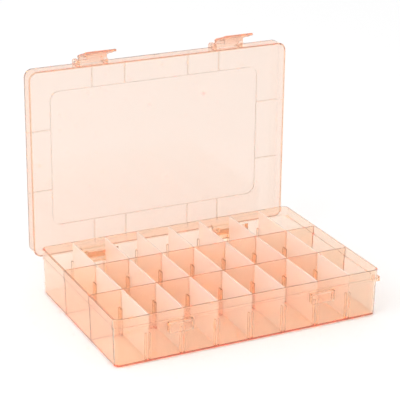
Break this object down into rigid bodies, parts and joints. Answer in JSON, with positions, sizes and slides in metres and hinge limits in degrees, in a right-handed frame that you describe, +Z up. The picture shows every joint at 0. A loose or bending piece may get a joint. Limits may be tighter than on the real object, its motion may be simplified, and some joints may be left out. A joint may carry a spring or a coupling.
{
  "type": "compartment organizer box",
  "caption": "Shallow translucent plastic organizer box for small notions, with a hinged lid, two swinging latches and a grid of compartments made by fixed long walls and lift-out dividers.",
  "frame": {"origin": "centre of the base's underside", "axes": "+Z up, +X to the right seen from the front, the latches and catches are on the -Y side and the hinges on the +Y side"},
  "size_m": [0.1971, 0.1531, 0.1696],
  "materials": {
    "tray_plastic": "translucent peach moulded polypropylene, smooth gloss",
    "lid_plastic": "clear peach-tinted moulded polypropylene, smooth gloss",
    "divider_plastic": "translucent peach moulded polypropylene, soft gloss",
    "latch_plastic": "translucent peach moulded polypropylene, smooth gloss"
  },
  "bodies": {
    "base": {"base": "tray_plastic"},
    "lid": {"lid": "lid_plastic"},
    "latch_left": {"latch_left": "latch_plastic"},
    "latch_right": {"latch_right": "latch_plastic"},
    "divider_front_1": {"divider_front_1": "divider_plastic"},
    "divider_front_2": {"divider_front_2": "divider_plastic"},
    "divider_front_3": {"divider_front_3": "divider_plastic"},
    "divider_front_4": {"divider_front_4": "divider_plastic"},
    "divider_front_5": {"divider_front_5": "divider_plastic"},
    "divider_front_6": {"divider_front_6": "divider_plastic"},
    "divider_front_7": {"divider_front_7": "divider_plastic"},
    "divider_middle_1": {"divider_middle_1": "divider_plastic"},
    "divider_middle_2": {"divider_middle_2": "divider_plastic"},
    "divider_middle_3": {"divider_middle_3": "divider_plastic"},
    "divider_middle_4": {"divider_middle_4": "divider_plastic"},
    "divider_middle_5": {"divider_middle_5": "divider_plastic"},
    "divider_middle_6": {"divider_middle_6": "divider_plastic"},
    "divider_middle_7": {"divider_middle_7": "divider_plastic"},
    "divider_rear_1": {"divider_rear_1": "divider_plastic"},
    "divider_rear_2": {"divider_rear_2": "divider_plastic"},
    "divider_rear_3": {"divider_rear_3": "divider_plastic"},
    "divider_rear_4": {"divider_rear_4": "divider_plastic"},
    "divider_rear_5": {"divider_rear_5": "divider_plastic"},
    "divider_rear_6": {"divider_rear_6": "divider_plastic"},
    "divider_rear_7": {"divider_rear_7": "divider_plastic"}
  },
  "joints": [
    {"name": "lid_hinge", "type": "hinge", "parent": "base", "child": "lid", "pos_m": [0, 0.06875, 0.0197], "axis": [1, 0, 0], "range_deg": [0, 90]},
    {"name": "latch_left_hinge", "type": "hinge", "parent": "lid", "child": "latch_left", "pos_m": [-0.0515, 0.08045, 0.15735], "axis": [1, 0, 0], "range_deg": [-82, 28]},
    {"name": "latch_right_hinge", "type": "hinge", "parent": "lid", "child": "latch_right", "pos_m": [0.0515, 0.08045, 0.15735], "axis": [1, 0, 0], "range_deg": [-82, 28]},
    {"name": "divider_front_1_slide", "type": "slide", "parent": "base", "child": "divider_front_1", "axis": [0, 0, -1], "range_m": [-0.034, 0]},
    {"name": "divider_front_2_slide", "type": "slide", "parent": "base", "child": "divider_front_2", "axis": [0, 0, -1], "range_m": [-0.034, 0]},
    {"name": "divider_front_3_slide", "type": "slide", "parent": "base", "child": "divider_front_3", "axis": [0, 0, -1], "range_m": [-0.034, 0]},
    {"name": "divider_front_4_slide", "type": "slide", "parent": "base", "child": "divider_front_4", "axis": [0, 0, -1], "range_m": [-0.034, 0]},
    {"name": "divider_front_5_slide", "type": "slide", "parent": "base", "child": "divider_front_5", "axis": [0, 0, -1], "range_m": [-0.034, 0]},
    {"name": "divider_front_6_slide", "type": "slide", "parent": "base", "child": "divider_front_6", "axis": [0, 0, -1], "range_m": [-0.034, 0]},
    {"name": "divider_front_7_slide", "type": "slide", "parent": "base", "child": "divider_front_7", "axis": [0, 0, -1], "range_m": [-0.034, 0]},
    {"name": "divider_middle_1_slide", "type": "slide", "parent": "base", "child": "divider_middle_1", "axis": [0, 0, -1], "range_m": [-0.034, 0]},
    {"name": "divider_middle_2_slide", "type": "slide", "parent": "base", "child": "divider_middle_2", "axis": [0, 0, -1], "range_m": [-0.034, 0]},
    {"name": "divider_middle_3_slide", "type": "slide", "parent": "base", "child": "divider_middle_3", "axis": [0, 0, -1], "range_m": [-0.034, 0]},
    {"name": "divider_middle_4_slide", "type": "slide", "parent": "base", "child": "divider_middle_4", "axis": [0, 0, -1], "range_m": [-0.034, 0]},
    {"name": "divider_middle_5_slide", "type": "slide", "parent": "base", "child": "divider_middle_5", "axis": [0, 0, -1], "range_m": [-0.034, 0]},
    {"name": "divider_middle_6_slide", "type": "slide", "parent": "base", "child": "divider_middle_6", "axis": [0, 0, -1], "range_m": [-0.034, 0]},
    {"name": "divider_middle_7_slide", "type": "slide", "parent": "base", "child": "divider_middle_7", "axis": [0, 0, -1], "range_m": [-0.034, 0]},
    {"name": "divider_rear_1_slide", "type": "slide", "parent": "base", "child": "divider_rear_1", "axis": [0, 0, -1], "range_m": [-0.034, 0]},
    {"name": "divider_rear_2_slide", "type": "slide", "parent": "base", "child": "divider_rear_2", "axis": [0, 0, -1], "range_m": [-0.034, 0]},
    {"name": "divider_rear_3_slide", "type": "slide", "parent": "base", "child": "divider_rear_3", "axis": [0, 0, -1], "range_m": [-0.034, 0]},
    {"name": "divider_rear_4_slide", "type": "slide", "parent": "base", "child": "divider_rear_4", "axis": [0, 0, -1], "range_m": [-0.034, 0]},
    {"name": "divider_rear_5_slide", "type": "slide", "parent": "base", "child": "divider_rear_5", "axis": [0, 0, -1], "range_m": [-0.034, 0]},
    {"name": "divider_rear_6_slide", "type": "slide", "parent": "base", "child": "divider_rear_6", "axis": [0, 0, -1], "range_m": [-0.034, 0]},
    {"name": "divider_rear_7_slide", "type": "slide", "parent": "base", "child": "divider_rear_7", "axis": [0, 0, -1], "range_m": [-0.034, 0]}
  ]
}
